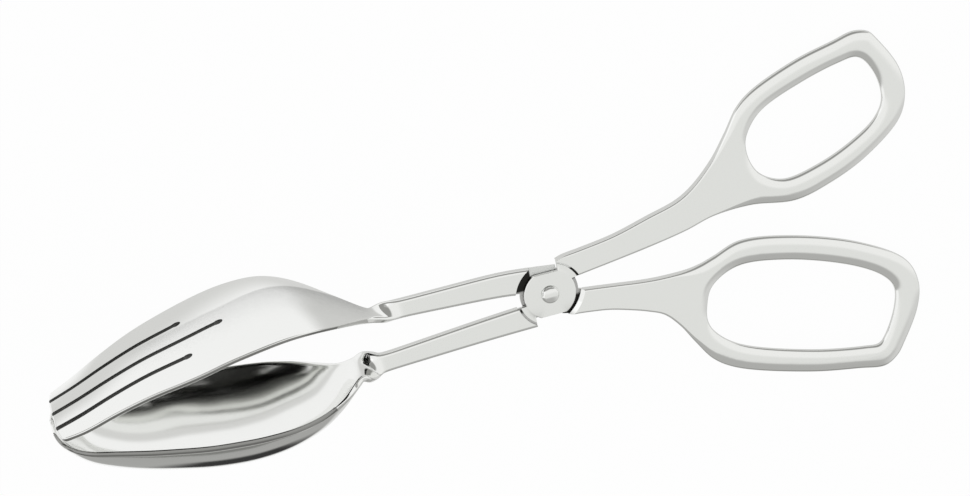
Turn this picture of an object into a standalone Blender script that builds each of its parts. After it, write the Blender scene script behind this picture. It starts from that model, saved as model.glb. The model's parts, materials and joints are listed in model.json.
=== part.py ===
"""Scissor serving tongs of stainless steel: a spoon lever and a fork lever crossed at one rivet.

The levers are drawn in the tongs' own plane: x runs from the pivot to the handles, y lies across
(the fork is above the spoon) and z is the axis of the rivet.  An empty then lays the closed tongs
on their side, the way they rest on a table, with the floor at z = 0.
"""
import math

import bmesh
import bpy
import numpy as np
from mathutils import Matrix, Vector

# Sizes, in metres
PLATE = 0.0025              # thickness of the lever blanks
EDGE_ROUND = 0.0009         # radius on the edges of the blanks
PIVOT_TO_TIP = 0.1376       # reach of the two bowls

# Handles: hole = finger loop, limb = metal around it
LIMB = 0.0066
UPPER_STEM = 0.0606
UPPER_HOLE_LENGTH = 0.0410
UPPER_HOLE_WIDTH = 0.0238
UPPER_TILT = math.radians(17.0)
UPPER_HOLE_RISE = 0.0232
LOWER_STEM = 0.0424
LOWER_HOLE_LENGTH = 0.0547
LOWER_HOLE_WIDTH = 0.0268
LOWER_TILT = math.radians(-15.5)
LOWER_HOLE_RISE = -0.0157
STEM_WIDTH = 0.0072

# Arms between the pivot and the bowls
FORK_ARM_WIDTH = 0.0078     # at the hub
SPOON_ARM_WIDTH = 0.0070
ARM_WIDTH_AT_NECK = 0.0052
FORK_ARM_HEIGHT = 0.0056    # of the arm's centre line at the hub
FORK_NECK_HEIGHT = 0.0069
SPOON_ARM_HEIGHT = -0.0048
SPOON_NECK_HEIGHT = -0.0073
FORK_TWIST_START = 0.0400
FORK_TWIST_END = 0.0495
SPOON_TWIST_START = 0.0480
SPOON_TWIST_END = 0.0554
FORK_ARM_ROOT = 0.0030      # where each arm starts on its hub plate
SPOON_ARM_ROOT = -0.0050
ROOT_LENGTH = 0.0140        # over this length an arm's centre line drops at its root
FORK_ROOT_DROP = 0.0020
SPOON_ROOT_DROP = 0.0003
NECK_THICKNESS = 0.0020
SPOON_WIDENS_FROM = 0.0520  # from the pivot; the fork widens from the end of its twist

# Bowls
BOWL_WIDTH = 0.0502
SHEET = 0.0014              # thickness of the spoon bowl and of the fork
SHEET_EDGE = 0.0004         # bevel on the edges of arms and bowls
SPOON_DEPTH = 0.0139
SPOON_RIM_SAG = 0.0031      # of the rim below a straight line from neck to tip
SPOON_TIP_HEIGHT = -0.0006
FORK_SHORTER = 0.0008       # than the spoon, at the tip
FORK_ARCH = 0.0112          # of the fork's edge above a straight line from neck to tip
FORK_CROWN = 0.0024
TIP_CLEARANCE = 0.0004      # between the outer tines and the spoon's rim when closed
SLOT_WIDTH = 0.0022
MIDDLE_SLOT_ROOT = 0.0874   # from the pivot
SIDE_SLOT_ROOT = 0.0978
SLOT_PITCH_AT_ROOT = 0.0114
SLOT_PITCH_AT_TIP = 0.0089

# Lap joint
LAP_GAP = 0.0003            # between the two half-thickness hub plates
HUB_RECESS = 0.00015        # of each hub plate below the face of its lever
HUB_RADIUS = 0.0072
HUB_FLAT = 0.0062           # from the pivot to the straight side of the hub plate
RECESS_RADIUS = 0.0094      # of the shallow recess around each hub plate
RUNNING_GAP = 0.0004        # between the front hub plate and the shoulder of the stem behind it
SHOULDER_GAP = 0.0024       # the wider gap at the other shoulders, which lets the tongs open
FORK_STEM_SIDE = math.radians(-45.0)
RIVET_SHANK = 0.0034
RIVET_HEAD = 0.0050
RIVET_HEAD_FLAT = 0.0034
RIVET_HEAD_HEIGHT = 0.0009
RIVET_CLEARANCE = 0.0003

# Outline of a finger hole as (share of its length, share of its half width towards the outside)
UPPER_HOLE_FORM = (
    (0.0, -0.10), (0.025, 0.36), (0.085, 0.63), (0.22, 0.90), (0.55, 1.0), (0.82, 0.95), (0.93, 0.87),
    (0.975, 0.68), (1.0, 0.12), (0.96, -0.42), (0.86, -0.72), (0.66, -0.92), (0.40, -1.0),
    (0.15, -0.89), (0.03, -0.51),
)
LOWER_HOLE_FORM = (
    (0.0, 0.0), (0.015, 0.35), (0.066, 0.60), (0.197, 0.86), (0.59, 1.0), (0.87, 0.93), (0.945, 0.87),
    (0.972, 0.68), (1.0, 0.05), (0.985, -0.38), (0.92, -0.63), (0.75, -0.865), (0.38, -1.0),
    (0.13, -0.85), (0.015, -0.42),
)
# Outer edge: (share of hole length, share of half width, limbs added along, limbs added across)
UPPER_EDGE_FORM = (
    (0.085, 0.63, 0.0, 1.13), (0.22, 0.90, 0.0, 0.97), (0.57, 1.0, 0.0, 0.98), (0.84, 0.94, 0.0, 0.98),
    (0.94, 0.86, 0.36, 1.04), (0.97, 0.70, 0.72, 0.98), (0.98, 0.66, 0.84, 0.60),
    (1.0, 0.12, 1.02, 0.0), (0.97, -0.36, 0.98, -0.28), (0.90, -0.64, 0.72, -0.68),
    (0.66, -0.92, 0.25, -0.93), (0.40, -1.0, 0.0, -1.0), (0.15, -0.89, 0.0, -1.08),
)
LOWER_EDGE_FORM = (
    (0.066, 0.60, 0.0, 1.17), (0.197, 0.86, 0.0, 1.05), (0.59, 1.0, 0.0, 0.98), (0.85, 0.94, 0.0, 0.97),
    (0.945, 0.87, 0.40, 0.98), (0.97, 0.70, 0.68, 0.84), (0.98, 0.62, 0.82, 0.42),
    (1.0, 0.05, 1.03, 0.0), (0.985, -0.34, 1.06, -0.32), (0.93, -0.60, 0.85, -0.78),
    (0.75, -0.865, 0.20, -1.02), (0.40, -1.0, 0.0, -1.05), (0.13, -0.85, 0.0, -1.12),
)
# Stem edges: (share of the stem's length, height of the edge above the pivot in stem widths)
UPPER_STEM_OUTSIDE = (
    (0.053, 1.25), (0.10, 1.37), (0.17, 1.44), (0.33, 1.63), (0.50, 2.00), (0.64, 2.32), (0.72, 2.70),
    (0.83, 3.55), (0.91, 4.45),
)
UPPER_STEM_INSIDE = (
    (0.97, 1.40), (0.80, 1.38), (0.66, 1.08), (0.50, 0.84), (0.33, 0.64), (0.20, 0.50), (0.053, 0.34),
)
LOWER_STEM_OUTSIDE = (
    (0.06, -0.96), (0.13, -1.06), (0.24, -1.15), (0.36, -1.27), (0.48, -1.48), (0.61, -1.76),
    (0.71, -2.06), (0.80, -2.68), (0.88, -3.50),
)
LOWER_STEM_INSIDE = (
    (1.10, -0.27), (1.00, -0.45), (0.90, -0.55), (0.72, -0.55), (0.59, -0.48), (0.47, -0.38),
    (0.30, -0.24), (0.06, -0.05),
)

# Outline of the bowls as (share of the length over which they widen, share of the half width)
OUTLINE_FORM = (
    (0.0, 0.128), (0.028, 0.22), (0.073, 0.375), (0.119, 0.535), (0.153, 0.645), (0.188, 0.745),
    (0.233, 0.845), (0.289, 0.93), (0.345, 0.972), (0.425, 1.0), (0.516, 1.0), (0.573, 0.985),
)
SPOON_OUTLINE = OUTLINE_FORM + ((0.688, 0.915), (0.80, 0.84), (1.0, 0.76))
FORK_OUTLINE = OUTLINE_FORM + ((0.688, 0.91), (0.805, 0.81), (0.925, 0.70), (1.0, 0.60))
# Blunt ends: (share of that length where the end begins, power of its curve)
SPOON_END = (0.856, 2.6)
FORK_END = (0.978, 3.0)
SPOON_LAST_ROW = 0.9990     # share of a bowl's length at its last row
FORK_LAST_ROW = 0.9960
# Heights of the bowls as (share of the bowl's length, share of the full size)
DEPTH_FORM = (
    (0.0, 0.0), (0.02, 0.10), (0.056, 0.30), (0.129, 0.575), (0.178, 0.70), (0.238, 0.82), (0.30, 0.914),
    (0.36, 0.967), (0.445, 1.0), (0.5425, 0.98), (0.6155, 0.942), (0.698, 0.885), (0.786, 0.806),
    (0.847, 0.72), (0.9075, 0.575), (0.944, 0.40), (0.98, 0.165), (1.0, 0.02),
)
RIM_SAG_FORM = (
    (0.0, 0.0), (0.02, 0.30), (0.056, 0.67), (0.129, 0.875), (0.238, 0.97), (0.36, 1.0), (0.506, 0.935),
    (0.6155, 0.81), (0.725, 0.66), (0.786, 0.51), (0.847, 0.31), (0.92, 0.115), (0.956, 0.03), (1.0, 0.0),
)
ARCH_FORM = (
    (0.0, 0.0), (0.03, 0.14), (0.075, 0.318), (0.12, 0.509), (0.19, 0.771), (0.235, 0.89), (0.293, 0.984),
    (0.35, 1.0), (0.41, 0.986), (0.4655, 0.946), (0.523, 0.875), (0.58, 0.804), (0.695, 0.656),
    (0.81, 0.419), (0.925, 0.127), (1.0, 0.0),
)
CROWN_FORM = (
    (0.0, 0.0), (0.12, 0.66), (0.235, 1.0), (0.35, 0.66), (0.43, 0.27), (0.58, 0.21), (0.70, 0.20),
    (0.81, 0.26), (0.925, 0.42), (1.0, 0.34),
)
SPOON_WALL_POWER = 0.70     # 1 is a parabola, as at the neck, and 0.5 an ellipse
WALL_SETTLES = 0.15         # share of the spoon's length from which its walls have that form
BOWL_ROWS = 32
ARM_ROWS = 6
TWIST_ROWS = 8
COLUMNS = 18


def clear_scene():
    for obj in list(bpy.data.objects):
        bpy.data.objects.remove(obj, do_unlink=True)


def new_collection(name):
    collection = bpy.data.collections.new(name)
    bpy.context.scene.collection.children.link(collection)
    return collection


def spline(form, position):
    """Smooth curve through the points of a form, without overshoot (monotone cubic)."""
    x = np.array([point[0] for point in form])
    y = np.array([point[1] for point in form])
    step = np.diff(x)
    slope = np.diff(y) / step
    tangent = np.zeros(len(x))
    tangent[0], tangent[-1] = slope[0], slope[-1]
    for i in range(1, len(x) - 1):
        if slope[i - 1] * slope[i] > 0:
            before, after = 2 * step[i] + step[i - 1], step[i] + 2 * step[i - 1]
            tangent[i] = (before + after) / (before / slope[i - 1] + after / slope[i])
    i = int(np.clip(np.searchsorted(x, position) - 1, 0, len(step) - 1))
    s = (position - x[i]) / step[i]
    return (
        y[i] * (1 + 2 * s) * (1 - s) ** 2 + tangent[i] * step[i] * s * (1 - s) ** 2
        + y[i + 1] * s * s * (3 - 2 * s) + tangent[i + 1] * step[i] * s * s * (s - 1)
    )


def smooth(anchors, steps, closed):
    """Curve through the anchors, closed or open (centripetal Catmull-Rom)."""
    points = [Vector(anchor) for anchor in anchors]
    if closed:
        points = [points[-1]] + points + points[:2]
    else:
        points = [points[0] * 2 - points[1]] + points + [points[-1] * 2 - points[-2]]
    curve = []
    for p0, p1, p2, p3 in zip(points, points[1:], points[2:], points[3:]):
        t1 = (p1 - p0).length ** 0.5
        t2 = t1 + (p2 - p1).length ** 0.5
        t3 = t2 + (p3 - p2).length ** 0.5
        for k in range(steps):
            t = t1 + (t2 - t1) * k / steps
            a1 = p0 * ((t1 - t) / t1) + p1 * (t / t1)
            a2 = p1 * ((t2 - t) / (t2 - t1)) + p2 * ((t - t1) / (t2 - t1))
            a3 = p2 * ((t3 - t) / (t3 - t2)) + p3 * ((t - t2) / (t3 - t2))
            b1 = a1 * ((t2 - t) / t2) + a2 * (t / t2)
            b2 = a2 * ((t3 - t) / (t3 - t1)) + a3 * ((t - t1) / (t3 - t1))
            curve.append(b1 * ((t2 - t) / (t2 - t1)) + b2 * ((t - t1) / (t2 - t1)))
    if not closed:
        curve.append(points[-2])
    return curve


def handle_outlines(stem, length, width, tilt, rise, side, hole_form, edge_form, outside, inside):
    """Anchor points of a handle's finger hole and of its outer edge, in the tongs' plane."""
    along = Vector((math.cos(tilt), math.sin(tilt)))
    across = Vector((-math.sin(tilt), math.cos(tilt))) * side
    origin = Vector((stem, rise))

    def around_hole(share, half_share, limbs_along=0.0, limbs_across=0.0):
        reach = share * length + limbs_along * LIMB
        spread = half_share * width / 2 + limbs_across * LIMB
        return origin + along * reach + across * spread

    hole = [around_hole(*point) for point in hole_form]
    edge = [Vector((share * stem, height * STEM_WIDTH)) for share, height in outside]
    edge += [around_hole(*point) for point in edge_form]
    edge += [Vector((share * stem, height * STEM_WIDTH)) for share, height in inside]
    return hole, edge


def plate_from_outlines(name, outlines, thickness, rounding):
    """A flat blank with rounded edges from closed outlines, as a mesh."""
    curve = bpy.data.curves.new(name, 'CURVE')
    curve.dimensions = '2D'
    curve.fill_mode = 'BOTH'
    curve.extrude = thickness / 2 - rounding
    curve.bevel_depth = rounding
    curve.offset = -rounding
    curve.bevel_resolution = 1 if rounding else 0
    for outline in outlines:
        path = curve.splines.new('POLY')
        path.points.add(len(outline) - 1)
        for point, anchor in zip(path.points, outline):
            point.co = (anchor[0], anchor[1], 0.0, 1.0)
        path.use_cyclic_u = True
    obj = bpy.data.objects.new(name, curve)
    bpy.context.scene.collection.objects.link(obj)
    return mesh_from_curve(obj)


def mesh_from_curve(obj):
    graph = bpy.context.evaluated_depsgraph_get()
    mesh = bpy.data.meshes.new_from_object(obj.evaluated_get(graph))
    work = bmesh.new()
    work.from_mesh(mesh)
    bmesh.ops.remove_doubles(work, verts=work.verts, dist=0.00001)
    bmesh.ops.recalc_face_normals(work, faces=work.faces)
    work.to_mesh(mesh)
    work.free()
    name = obj.name
    matrix = obj.matrix_world.copy()
    bpy.data.objects.remove(obj, do_unlink=True)
    made = bpy.data.objects.new(name, mesh)
    made.matrix_world = matrix
    return made


def hub_outline(side, steps=20):
    """Round plate with one straight side, along which the other lever's arm passes."""
    half_flat = math.acos(HUB_FLAT / HUB_RADIUS)
    start = side * math.pi / 2 + half_flat
    points = []
    for k in range(steps + 1):
        angle = start + (2 * math.pi - 2 * half_flat) * k / steps
        points.append(Vector((math.cos(angle), math.sin(angle))) * HUB_RADIUS)
    return points


def blunt_end(share, end_form):
    """Narrowing of a bowl towards its tip, from 1 to 0; share is of the widening length."""
    start, power = end_form
    end = max(0.0, (share - start) / (1 - start))
    return (1 - end ** power) ** (1 / power)


def half_width(share, outline):
    """Half the width of a bowl before its blunt end; share is of the widening length."""
    return BOWL_WIDTH / 2 * spline(outline, share)


def fork_height(share, column, blunt):
    """Height of the fork's middle surface; column is -1 and 1 at its edges."""
    tip = SPOON_TIP_HEIGHT + SHEET + TIP_CLEARANCE
    line = FORK_NECK_HEIGHT + (tip - FORK_NECK_HEIGHT) * share
    crown = FORK_CROWN * spline(CROWN_FORM, share) * (1 - (column * blunt) ** 2)
    return line + FORK_ARCH * spline(ARCH_FORM, share) + crown


def spoon_height(share, column, blunt):
    """Height of the spoon bowl's middle surface; column is -1 and 1 at its rim."""
    line = SPOON_NECK_HEIGHT + (SPOON_TIP_HEIGHT - SPOON_NECK_HEIGHT) * share
    rim = line - SPOON_RIM_SAG * spline(RIM_SAG_FORM, share)
    power = 1 + (SPOON_WALL_POWER - 1) * min(1.0, share / WALL_SETTLES)
    return rim - SPOON_DEPTH * spline(DEPTH_FORM, share) * (1 - column * column) ** power


def arm_rows(root, twist_start, width, height, neck_height, root_drop):
    """The flat arm: rows of points with their thickness."""
    columns = np.linspace(-1, 1, COLUMNS + 1)
    rows = []
    for k in range(ARM_ROWS):
        share = k / ARM_ROWS
        x = root - (twist_start + root) * share
        drop = root_drop * max(0.0, 1 - (root - x) / ROOT_LENGTH)
        middle = height + (neck_height - height) * share - drop
        reach = (width + (ARM_WIDTH_AT_NECK - width) * share) / 2
        rows.append(([Vector((x, middle + c * reach, 0)) for c in columns], PLATE))
    return rows


def twist_rows(twist_start, twist_end, neck_height, neck_reach):
    """The quarter twist that turns the arm's front face up."""
    columns = np.linspace(-1, 1, COLUMNS + 1)
    rows = []
    for k in range(TWIST_ROWS + 1):
        share = k / TWIST_ROWS
        ease = share * share * (3 - 2 * share)
        turn = math.pi / 2 * ease
        x = -twist_start - (twist_end - twist_start) * share
        reach = ARM_WIDTH_AT_NECK / 2 + (neck_reach - ARM_WIDTH_AT_NECK / 2) * ease
        up, out = reach * math.cos(turn), reach * math.sin(turn)
        rows.append(([Vector((x, neck_height + c * up, -c * out)) for c in columns],
                     PLATE + (NECK_THICKNESS - PLATE) * ease))
    return rows


def bowl_rows(twist_end, widens_from, tip, outline, end_form, last_row, height):
    """The bowl beyond the neck: rows that lie closer together towards its blunt end."""
    columns = np.linspace(-1, 1, COLUMNS + 1)
    rows = []
    for k in range(1, BOWL_ROWS + 1):
        share = last_row * (1 - (1 - k / BOWL_ROWS) ** 1.6)
        x = twist_end + (tip - twist_end) * share
        widened = (x - widens_from) / (tip - widens_from)
        blunt = blunt_end(widened, end_form)
        reach = half_width(widened, outline) * blunt
        thickness = NECK_THICKNESS + (SHEET - NECK_THICKNESS) * min(1.0, share / 0.12)
        points = [Vector((-x, height(share, c, blunt), -c * reach)) for c in columns]
        rows.append((points, thickness))
    return rows


def sheet_from_rows(name, rows):
    """An open sheet through the rows, thickened on both sides, with its edges broken."""
    mesh = bpy.data.meshes.new(name)
    work = bmesh.new()
    weight = work.verts.layers.deform.verify()
    grid = []
    for points, thickness in rows:
        line = [work.verts.new(point) for point in points]
        for vert in line:
            vert[weight][0] = thickness / PLATE
        grid.append(line)
    for a, b in zip(grid, grid[1:]):
        for i in range(COLUMNS):
            work.faces.new((a[i], a[i + 1], b[i + 1], b[i]))
    work.to_mesh(mesh)
    work.free()
    mesh.shade_smooth()
    sheet = bpy.data.objects.new(name, mesh)
    sheet.vertex_groups.new(name='thickness')
    solid = sheet.modifiers.new('Solidify', 'SOLIDIFY')
    solid.thickness = PLATE
    solid.offset = 0
    solid.use_even_offset = True
    solid.vertex_group = 'thickness'
    edges = sheet.modifiers.new('Bevel', 'BEVEL')
    edges.width = SHEET_EDGE
    edges.segments = 1
    edges.limit_method = 'ANGLE'
    edges.angle_limit = math.radians(60)
    return sheet


def slot_outline(root, at_root, at_tip):
    """A slot between two tines: round at its root and open at the tip."""
    radius = SLOT_WIDTH / 2
    start = Vector((-root - radius, at_root))
    end = Vector((-PIVOT_TO_TIP - SLOT_WIDTH, at_tip))
    along = (end - start).normalized()
    across = Vector((-along.y, along.x))
    outline = [end - across * radius]
    for k in range(9):
        angle = math.pi * k / 8
        outline.append(start - (across * math.cos(angle) + along * math.sin(angle)) * radius)
    outline.append(end + across * radius)
    return outline


def slots_cutter(name):
    """The three slots as strips that stand across the fork."""
    outlines = [slot_outline(MIDDLE_SLOT_ROOT, 0.0, 0.0)]
    for side in (-1, 1):
        outlines.append(slot_outline(SIDE_SLOT_ROOT, side * SLOT_PITCH_AT_ROOT, side * SLOT_PITCH_AT_TIP))
    cutter = plate_from_outlines(name, outlines, FORK_ARCH * 4, 0.0)
    cutter.matrix_world = Matrix.Rotation(math.radians(90), 4, 'X')
    return cutter


def lap_cutter(name, near_radius, far_radius, low, high, steps=20):
    """A flat-bottomed recess around the pivot, in two halves: near the fork's stem and away from it."""
    outline = []
    for middle, radius in ((FORK_STEM_SIDE, near_radius), (FORK_STEM_SIDE + math.pi, far_radius)):
        for k in range(steps + 1):
            angle = middle - math.pi / 2 + math.pi * k / steps
            outline.append(Vector((math.cos(angle), math.sin(angle))) * radius)
    cutter = plate_from_outlines(name, [outline], high - low, 0.0)
    cutter.location.z = (low + high) / 2
    return cutter


def bore_cutter(name):
    bpy.ops.mesh.primitive_cylinder_add(
        vertices=40, radius=RIVET_SHANK / 2 + RIVET_CLEARANCE, depth=PLATE * 2)
    cutter = bpy.context.object
    cutter.name = name
    return cutter


def modify(target, tool, operation):
    """Join or cut with another solid, which stays in the file as construction geometry."""
    boolean = target.modifiers.new(tool.name, 'BOOLEAN')
    boolean.operation = operation
    boolean.solver = 'EXACT'
    boolean.object = tool
    place(tool, CONSTRUCTION)
    tool.hide_render = True
    tool.display_type = 'WIRE'


def place(obj, collection):
    for used in list(obj.users_collection):
        used.objects.unlink(obj)
    collection.objects.link(obj)
    obj.parent = REST_POSE


def lever(name, outlines, strap, side, stem_gap):
    """Joins blank, hub plate and bowl, then laps the hub; side is 1 in front and -1 behind."""
    hole, edge = outlines
    body = plate_from_outlines(name, [smooth(edge, 4, False), smooth(hole, 3, True)], PLATE, EDGE_ROUND)
    place(body, PARTS)
    hub = plate_from_outlines(name + '_hub', [hub_outline(side)], PLATE - HUB_RECESS, 0.0)
    modify(body, hub, 'UNION')
    modify(body, strap, 'UNION')
    faces = sorted((side * LAP_GAP / 2, -side * PLATE))
    modify(body, lap_cutter(name + '_lap', HUB_RADIUS + stem_gap, HUB_RADIUS + SHOULDER_GAP, *faces),
           'DIFFERENCE')
    faces = sorted((side * (PLATE / 2 - HUB_RECESS), side * PLATE))
    modify(body, lap_cutter(name + '_recess', RECESS_RADIUS, RECESS_RADIUS, *faces), 'DIFFERENCE')
    modify(body, bore_cutter(name + '_bore'), 'DIFFERENCE')
    return body


def spoon_lever():
    outlines = handle_outlines(
        UPPER_STEM, UPPER_HOLE_LENGTH, UPPER_HOLE_WIDTH, UPPER_TILT, UPPER_HOLE_RISE, 1,
        UPPER_HOLE_FORM, UPPER_EDGE_FORM, UPPER_STEM_OUTSIDE, UPPER_STEM_INSIDE)
    rows = arm_rows(SPOON_ARM_ROOT, SPOON_TWIST_START, SPOON_ARM_WIDTH, SPOON_ARM_HEIGHT, SPOON_NECK_HEIGHT,
                    SPOON_ROOT_DROP)
    widened = (SPOON_TWIST_END - SPOON_WIDENS_FROM) / (PIVOT_TO_TIP - SPOON_WIDENS_FROM)
    neck_reach = half_width(widened, SPOON_OUTLINE)
    rows += twist_rows(SPOON_TWIST_START, SPOON_TWIST_END, SPOON_NECK_HEIGHT, neck_reach)
    rows += bowl_rows(SPOON_TWIST_END, SPOON_WIDENS_FROM, PIVOT_TO_TIP, SPOON_OUTLINE, SPOON_END, SPOON_LAST_ROW,
                      spoon_height)
    body = lever('spoon_lever', outlines, sheet_from_rows('spoon_sheet', rows), 1, SHOULDER_GAP)
    body.data.materials.append(steel('spoon_steel', 0.20))


def fork_lever():
    outlines = handle_outlines(
        LOWER_STEM, LOWER_HOLE_LENGTH, LOWER_HOLE_WIDTH, LOWER_TILT, LOWER_HOLE_RISE, -1,
        LOWER_HOLE_FORM, LOWER_EDGE_FORM, LOWER_STEM_OUTSIDE, LOWER_STEM_INSIDE)
    tip = PIVOT_TO_TIP - FORK_SHORTER
    rows = arm_rows(FORK_ARM_ROOT, FORK_TWIST_START, FORK_ARM_WIDTH, FORK_ARM_HEIGHT, FORK_NECK_HEIGHT,
                    FORK_ROOT_DROP)
    neck_reach = half_width(0.0, FORK_OUTLINE)
    rows += twist_rows(FORK_TWIST_START, FORK_TWIST_END, FORK_NECK_HEIGHT, neck_reach)
    rows += bowl_rows(FORK_TWIST_END, FORK_TWIST_END, tip, FORK_OUTLINE, FORK_END, FORK_LAST_ROW, fork_height)
    sheet = sheet_from_rows('fork_sheet', rows)
    modify(sheet, slots_cutter('fork_slots'), 'DIFFERENCE')
    body = lever('fork_lever', outlines, sheet, -1, RUNNING_GAP)
    body.data.materials.append(steel('fork_steel', 0.22))


def pivot_rivet():
    """Turned rivet: domed head in front, shank, upset tail behind."""
    face = PLATE / 2 - HUB_RECESS + RIVET_CLEARANCE
    top = face + RIVET_HEAD_HEIGHT
    profile = (
        (0.0, top),
        (RIVET_HEAD_FLAT * 0.30, top - RIVET_HEAD_HEIGHT * 0.06),
        (RIVET_HEAD_FLAT * 0.50, top - RIVET_HEAD_HEIGHT * 0.28),
        (RIVET_HEAD * 0.46, face + RIVET_HEAD_HEIGHT * 0.36),
        (RIVET_HEAD * 0.50, face + RIVET_HEAD_HEIGHT * 0.12),
        (RIVET_HEAD * 0.50, face),
        (RIVET_SHANK * 0.50, face),
        (RIVET_SHANK * 0.50, -face),
        (RIVET_HEAD * 0.47, -face),
        (RIVET_HEAD * 0.47, -face - RIVET_HEAD_HEIGHT * 0.3),
        (RIVET_HEAD * 0.36, -face - RIVET_HEAD_HEIGHT * 0.6),
        (0.0, -face - RIVET_HEAD_HEIGHT * 0.7),
    )
    mesh = bpy.data.meshes.new('pivot_rivet')
    mesh.from_pydata([(r, 0.0, z) for r, z in profile], [(i, i + 1) for i in range(len(profile) - 1)], [])
    rivet = bpy.data.objects.new('pivot_rivet', mesh)
    screw = rivet.modifiers.new('Screw', 'SCREW')
    screw.steps = 32
    screw.render_steps = 32
    screw.use_merge_vertices = True
    screw.merge_threshold = 0.00001
    screw.use_smooth_shade = True
    mesh.materials.append(steel('rivet_steel', 0.18))
    place(rivet, PARTS)


def steel(name, roughness):
    material = bpy.data.materials.new(name)
    material.use_nodes = True
    shader = material.node_tree.nodes['Principled BSDF']
    shader.inputs['Base Color'].default_value = (0.78, 0.79, 0.78, 1.0)
    shader.inputs['Metallic'].default_value = 1.0
    shader.inputs['Roughness'].default_value = roughness
    return material


def lay_on_side():
    """Tilts the tongs until a bowl and a handle both touch the floor, and centres them on it."""
    bpy.context.view_layer.update()
    graph = bpy.context.evaluated_depsgraph_get()
    points = []
    for part in PARTS.objects:
        if part.type == 'MESH':
            solid = part.evaluated_get(graph)
            points += [solid.matrix_world @ vert.co for vert in solid.data.vertices]
    points = np.array(points)
    bowls, handles = points[points[:, 0] < 0], points[points[:, 0] > 0]
    least, most = 0.0, math.radians(30)
    for _ in range(40):
        tilt = (least + most) / 2
        down = np.array((-math.sin(tilt), 0.0, math.cos(tilt)))
        if (handles @ down).min() > (bowls @ down).min():
            least = tilt
        else:
            most = tilt
    turn = Matrix.Rotation(tilt, 3, 'Y')
    points = points @ np.array(turn).T
    low, high = points.min(axis=0), points.max(axis=0)
    REST_POSE.rotation_euler = (0.0, tilt, 0.0)
    REST_POSE.location = (-(low[0] + high[0]) / 2, -(low[1] + high[1]) / 2, -low[2])
    bpy.context.view_layer.update()


clear_scene()
PARTS = new_collection('serving_tongs')
CONSTRUCTION = new_collection('construction')
REST_POSE = bpy.data.objects.new('rest_pose', None)
PARTS.objects.link(REST_POSE)
spoon_lever()
fork_lever()
pivot_rivet()
lay_on_side()
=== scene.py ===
"""Looks of the serving tongs: finely shaped levers and rivet of polished steel, floor, light and camera.

Shapes are drawn in the tongs' own plane, as in the part: x runs from the pivot to the handles, y lies
across and z is the rivet's axis.  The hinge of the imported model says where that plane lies.
"""

import json
import math

import bmesh
import bpy
import numpy as np
from mathutils import Matrix, Vector
from mathutils.geometry import tessellate_polygon


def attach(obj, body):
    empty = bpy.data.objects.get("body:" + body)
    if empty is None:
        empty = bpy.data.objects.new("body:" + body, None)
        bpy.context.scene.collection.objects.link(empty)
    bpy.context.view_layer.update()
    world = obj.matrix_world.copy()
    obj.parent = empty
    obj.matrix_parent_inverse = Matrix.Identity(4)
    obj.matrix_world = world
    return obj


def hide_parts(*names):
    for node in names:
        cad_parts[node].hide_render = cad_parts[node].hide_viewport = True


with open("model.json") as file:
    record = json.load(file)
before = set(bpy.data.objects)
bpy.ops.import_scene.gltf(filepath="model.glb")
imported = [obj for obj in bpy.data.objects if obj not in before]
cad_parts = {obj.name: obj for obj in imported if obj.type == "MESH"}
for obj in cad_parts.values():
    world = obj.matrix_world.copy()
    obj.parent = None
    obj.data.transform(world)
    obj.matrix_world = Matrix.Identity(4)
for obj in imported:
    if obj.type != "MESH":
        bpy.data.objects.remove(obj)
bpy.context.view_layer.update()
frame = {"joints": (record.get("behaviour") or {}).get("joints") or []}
HINGE = frame["joints"][0]
REST = Matrix.Translation(HINGE["pos_m"]) @ Matrix.Rotation(math.asin(HINGE["axis"][0]), 4, 'Y')
HELPERS = []                # solids that are joined to or cut from another, and then removed

# Sizes in metres: the blanks and their handles
PLATE = 0.0025
LIMB = 0.0066
STEM_WIDTH = 0.0072
UPPER_STEM = 0.0606
UPPER_HOLE_LENGTH = 0.0410
UPPER_HOLE_WIDTH = 0.0238
UPPER_HOLE_RISE = 0.0232
UPPER_TILT = math.radians(17.0)
LOWER_STEM = 0.0424
LOWER_HOLE_LENGTH = 0.0547
LOWER_HOLE_WIDTH = 0.0268
LOWER_HOLE_RISE = -0.0157
LOWER_TILT = math.radians(-15.5)

# Arms and twisted necks
ROOT_LENGTH = 0.0140
ARM_WIDTH_AT_NECK = 0.0052
NECK_THICKNESS = 0.0020
FORK_ARM_ROOT = 0.0030
FORK_ROOT_DROP = 0.0020
FORK_ARM_WIDTH = 0.0078
FORK_ARM_HEIGHT = 0.0056
FORK_NECK_HEIGHT = 0.0069
FORK_TWIST_START = 0.0400
FORK_TWIST_END = 0.0495
SPOON_ARM_ROOT = -0.0050
SPOON_ROOT_DROP = 0.0003
SPOON_ARM_WIDTH = 0.0070
SPOON_ARM_HEIGHT = -0.0048
SPOON_NECK_HEIGHT = -0.0073
SPOON_TWIST_START = 0.0480
SPOON_TWIST_END = 0.0554

# Bowls
PIVOT_TO_TIP = 0.1376
BOWL_WIDTH = 0.0502
SHEET = 0.0014
SPOON_WIDENS_FROM = 0.0520
SPOON_DEPTH = 0.0139
SPOON_RIM_SAG = 0.0031
SPOON_TIP_HEIGHT = -0.0006
FORK_SHORTER = 0.0008
FORK_ARCH = 0.0112
FORK_CROWN = 0.0024
TIP_CLEARANCE = 0.0004

# Slots between the tines
SLOT_WIDTH = 0.0022
SLOT_ROOT_RADIUS = 0.0014
MIDDLE_SLOT_ROOT = 0.0874
SIDE_SLOT_ROOT = 0.0978
SLOT_PITCH_AT_ROOT = 0.0114
SLOT_PITCH_AT_TIP = 0.0089
SLOT_CUTTER_HEIGHT = 0.05

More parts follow.
